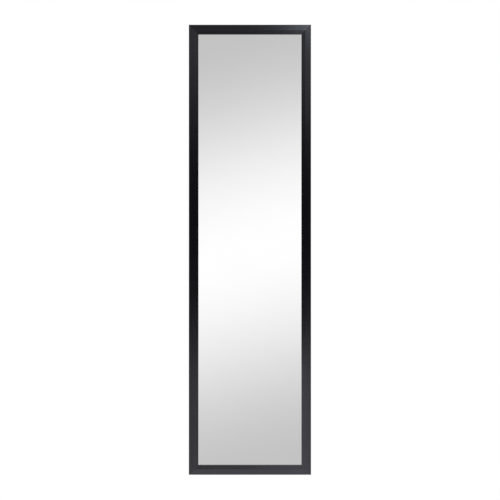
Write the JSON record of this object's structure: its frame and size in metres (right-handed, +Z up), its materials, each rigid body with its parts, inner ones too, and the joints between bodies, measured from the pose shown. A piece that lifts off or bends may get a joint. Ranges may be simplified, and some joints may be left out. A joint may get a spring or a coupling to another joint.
{
  "type": "over-the-door mirror",
  "caption": "Tall narrow mirror in a black mitred frame, with sliding strap hangers that hook over a door and a back held in by turn buttons.",
  "frame": {"origin": "middle of the door's top front edge, where the pads of both hooks meet the door with the hangers at their lowest setting", "axes": "+X to the right as seen from the front, +Y from the mirror's face towards the door, +Z up"},
  "size_m": [0.3408, 0.0698, 1.2552],
  "materials": {
    "frame_moulding": "extruded black polystyrene moulding, satin",
    "mirror_glass": "silvered float glass, polished",
    "filler_cardboard": "corrugated kraft cardboard",
    "back_hardboard": "smooth brown hardboard",
    "turn_button_steel": "pressed steel, bright zinc plated",
    "plated_screws": "steel, bright zinc plated",
    "plated_washers": "steel, bright zinc plated",
    "v_nail_steel": "blued spring steel strip",
    "hanger_steel": "steel strap, black powder coat",
    "hook_pad_rubber": "die-cut black rubber, matt",
    "bumper_rubber": "moulded black rubber, matt",
    "insert_brass": "turned brass"
  },
  "bodies": {
    "frame": {"top_rail": "frame_moulding", "bottom_rail": "frame_moulding", "left_stile": "frame_moulding", "right_stile": "frame_moulding", "corner_v_nails": "v_nail_steel", "mirror_glass": "mirror_glass", "filler_sheet": "filler_cardboard", "back_board": "back_hardboard", "turn_button_screws": "plated_screws", "hanger_screws": "plated_screws", "hanger_washers": "plated_washers", "hanger_inserts": "insert_brass", "left_bumper": "bumper_rubber", "right_bumper": "bumper_rubber"},
    "left_hanger": {"left_hanger_strap": "hanger_steel", "left_hook_pads": "hook_pad_rubber"},
    "right_hanger": {"right_hanger_strap": "hanger_steel", "right_hook_pads": "hook_pad_rubber"},
    "top_turn_button": {"top_turn_button": "turn_button_steel"},
    "bottom_turn_button": {"bottom_turn_button": "turn_button_steel"},
    "left_upper_turn_button": {"left_upper_turn_button": "turn_button_steel"},
    "right_upper_turn_button": {"right_upper_turn_button": "turn_button_steel"},
    "left_middle_turn_button": {"left_middle_turn_button": "turn_button_steel"},
    "right_middle_turn_button": {"right_middle_turn_button": "turn_button_steel"},
    "left_lower_turn_button": {"left_lower_turn_button": "turn_button_steel"},
    "right_lower_turn_button": {"right_lower_turn_button": "turn_button_steel"}
  },
  "joints": [
    {"name": "left_hanger_slide", "type": "slide", "parent": "frame", "child": "left_hanger", "axis": [0, 0, 1], "range_m": [0, 0.06]},
    {"name": "right_hanger_slide", "type": "slide", "parent": "frame", "child": "right_hanger", "axis": [0, 0, 1], "range_m": [0, 0.06]},
    {"name": "top_turn_button_pivot", "type": "hinge", "parent": "frame", "child": "top_turn_button", "pos_m": [0, -0.0044, -0.0043], "axis": [0, 1, 0], "continuous": true},
    {"name": "bottom_turn_button_pivot", "type": "hinge", "parent": "frame", "child": "bottom_turn_button", "pos_m": [0, -0.0044, -1.2423], "axis": [0, 1, 0], "continuous": true},
    {"name": "left_upper_turn_button_pivot", "type": "hinge", "parent": "frame", "child": "left_upper_turn_button", "pos_m": [-0.1618, -0.0044, -0.2657], "axis": [0, 1, 0], "continuous": true},
    {"name": "right_upper_turn_button_pivot", "type": "hinge", "parent": "frame", "child": "right_upper_turn_button", "pos_m": [0.1618, -0.0044, -0.2657], "axis": [0, 1, 0], "continuous": true},
    {"name": "left_middle_turn_button_pivot", "type": "hinge", "parent": "frame", "child": "left_middle_turn_button", "pos_m": [-0.1618, -0.0044, -0.6233], "axis": [0, 1, 0], "continuous": true},
    {"name": "right_middle_turn_button_pivot", "type": "hinge", "parent": "frame", "child": "right_middle_turn_button", "pos_m": [0.1618, -0.0044, -0.6233], "axis": [0, 1, 0], "continuous": true},
    {"name": "left_lower_turn_button_pivot", "type": "hinge", "parent": "frame", "child": "left_lower_turn_button", "pos_m": [-0.1618, -0.0044, -0.9809], "axis": [0, 1, 0], "continuous": true},
    {"name": "right_lower_turn_button_pivot", "type": "hinge", "parent": "frame", "child": "right_lower_turn_button", "pos_m": [0.1618, -0.0044, -0.9809], "axis": [0, 1, 0], "continuous": true}
  ]
}
